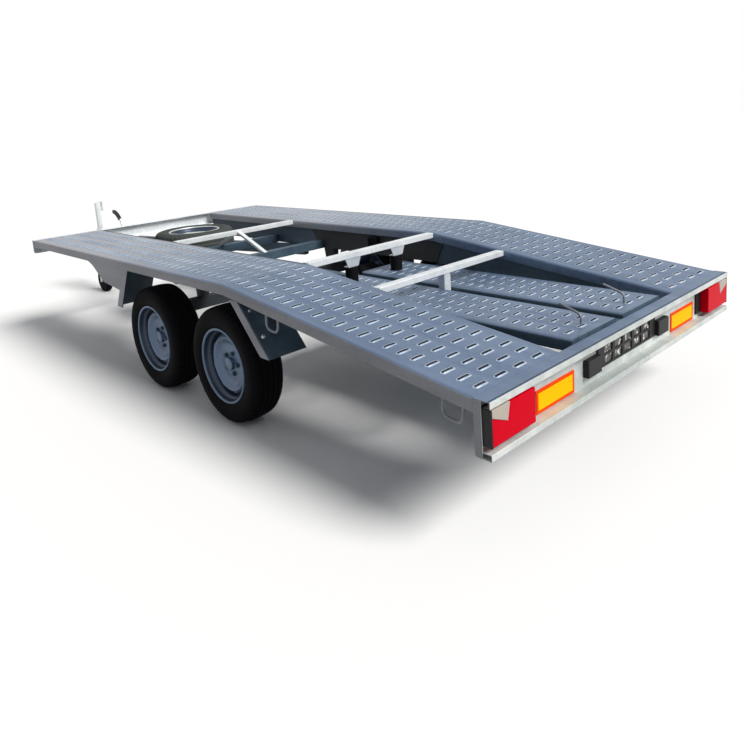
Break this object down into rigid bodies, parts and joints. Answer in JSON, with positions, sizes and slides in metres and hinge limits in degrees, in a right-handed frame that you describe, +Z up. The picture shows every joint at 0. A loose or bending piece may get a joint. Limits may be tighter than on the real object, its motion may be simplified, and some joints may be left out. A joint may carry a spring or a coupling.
{
  "type": "car transport trailer",
  "caption": "Twin-axle flatbed car carrier trailer with two slotted kinked tread plates, stowed loading ramps, rear lamp beam, drawbar with coupling and jockey wheel",
  "frame": {"origin": "on the ground under the middle of the overall box", "axes": "X forward to the coupling, Y to the trailer's left, Z up"},
  "size_m": [5.8, 2.05, 0.903],
  "materials": {
    "galvanised_steel": "hot-dip galvanised, matt with a faint spangle",
    "tyre": "worn black rubber",
    "rim_silver": "silver paint, satin",
    "black_rubber": "moulded rubber, matt",
    "black_plastic": "moulded plastic, satin",
    "red_lens": "clear red lamp lens",
    "clear_lens": "clear lamp lens",
    "amber_reflector": "amber reflective sheet with a red border",
    "cast_coupling": "zinc-coated casting",
    "jack_steel": "bright zinc plate"
  },
  "bodies": {
    "chassis": {"track_rear_left": "galvanised_steel", "track_rear_right": "galvanised_steel", "track_front_left": "galvanised_steel", "track_front_right": "galvanised_steel", "main_beam_left": "galvanised_steel", "main_beam_right": "galvanised_steel", "carrier_plates": "galvanised_steel", "front_beam": "galvanised_steel", "rear_beam": "galvanised_steel", "cross_members": "galvanised_steel", "centre_rail": "galvanised_steel", "crossbar_front": "galvanised_steel", "crossbar_middle": "galvanised_steel", "crossbar_rear": "galvanised_steel", "ramp_left": "galvanised_steel", "ramp_right": "galvanised_steel", "ramp_handles": "galvanised_steel", "axle_rear": "galvanised_steel", "axle_front": "galvanised_steel", "swing_arms": "galvanised_steel", "mudguards_left": "galvanised_steel", "mudguards_right": "galvanised_steel", "lashing_rings": "galvanised_steel", "drawbar_left": "galvanised_steel", "drawbar_right": "galvanised_steel", "overrun_housing": "galvanised_steel", "brake_lever": "galvanised_steel", "coupling_handle": "galvanised_steel", "jockey_clamp": "galvanised_steel", "jockey_tube": "galvanised_steel", "jockey_crank": "galvanised_steel", "spare_carrier": "galvanised_steel", "spare_tyre": "tyre", "spare_rim": "rim_silver", "ramp_buffers": "black_rubber", "bellows": "black_rubber", "lamp_housings": "black_plastic", "plate_holder": "black_plastic", "plate_lamps": "black_plastic", "lever_grip": "black_plastic", "lamp_lenses": "red_lens", "lamp_windows": "clear_lens", "front_markers": "clear_lens", "marker_plates": "amber_reflector", "coupling_head": "cast_coupling"},
    "jockey_leg": {"jockey_leg": "jack_steel"},
    "jockey_fork": {"jockey_fork": "jack_steel"},
    "jockey_wheel": {"jockey_wheel": "black_rubber"},
    "wheel_rear_left": {"tyre_rear_left": "tyre", "rim_rear_left": "rim_silver"},
    "wheel_rear_right": {"tyre_rear_right": "tyre", "rim_rear_right": "rim_silver"},
    "wheel_front_left": {"tyre_front_left": "tyre", "rim_front_left": "rim_silver"},
    "wheel_front_right": {"tyre_front_right": "tyre", "rim_front_right": "rim_silver"}
  },
  "joints": [
    {"name": "wheel_rear_left_spin", "type": "hinge", "parent": "chassis", "child": "wheel_rear_left", "pos_m": [-1.18, 0.89, 0.307], "axis": [0, 1, 0], "continuous": true},
    {"name": "wheel_rear_right_spin", "type": "hinge", "parent": "chassis", "child": "wheel_rear_right", "pos_m": [-1.18, -0.89, 0.307], "axis": [0, 1, 0], "continuous": true},
    {"name": "wheel_front_left_spin", "type": "hinge", "parent": "chassis", "child": "wheel_front_left", "pos_m": [-0.408, 0.89, 0.307], "axis": [0, 1, 0], "continuous": true},
    {"name": "wheel_front_right_spin", "type": "hinge", "parent": "chassis", "child": "wheel_front_right", "pos_m": [-0.408, -0.89, 0.307], "axis": [0, 1, 0], "continuous": true},
    {"name": "jockey_lift", "type": "slide", "parent": "chassis", "child": "jockey_leg", "axis": [0, 0, 1], "range_m": [0, 0.18]},
    {"name": "jockey_swivel", "type": "hinge", "parent": "jockey_leg", "child": "jockey_fork", "pos_m": [2.505, 0.0783, 0.268], "axis": [0, 0, 1], "continuous": true},
    {"name": "jockey_wheel_spin", "type": "hinge", "parent": "jockey_fork", "child": "jockey_wheel", "pos_m": [2.565, 0.0783, 0.115], "axis": [0, 1, 0], "continuous": true}
  ]
}
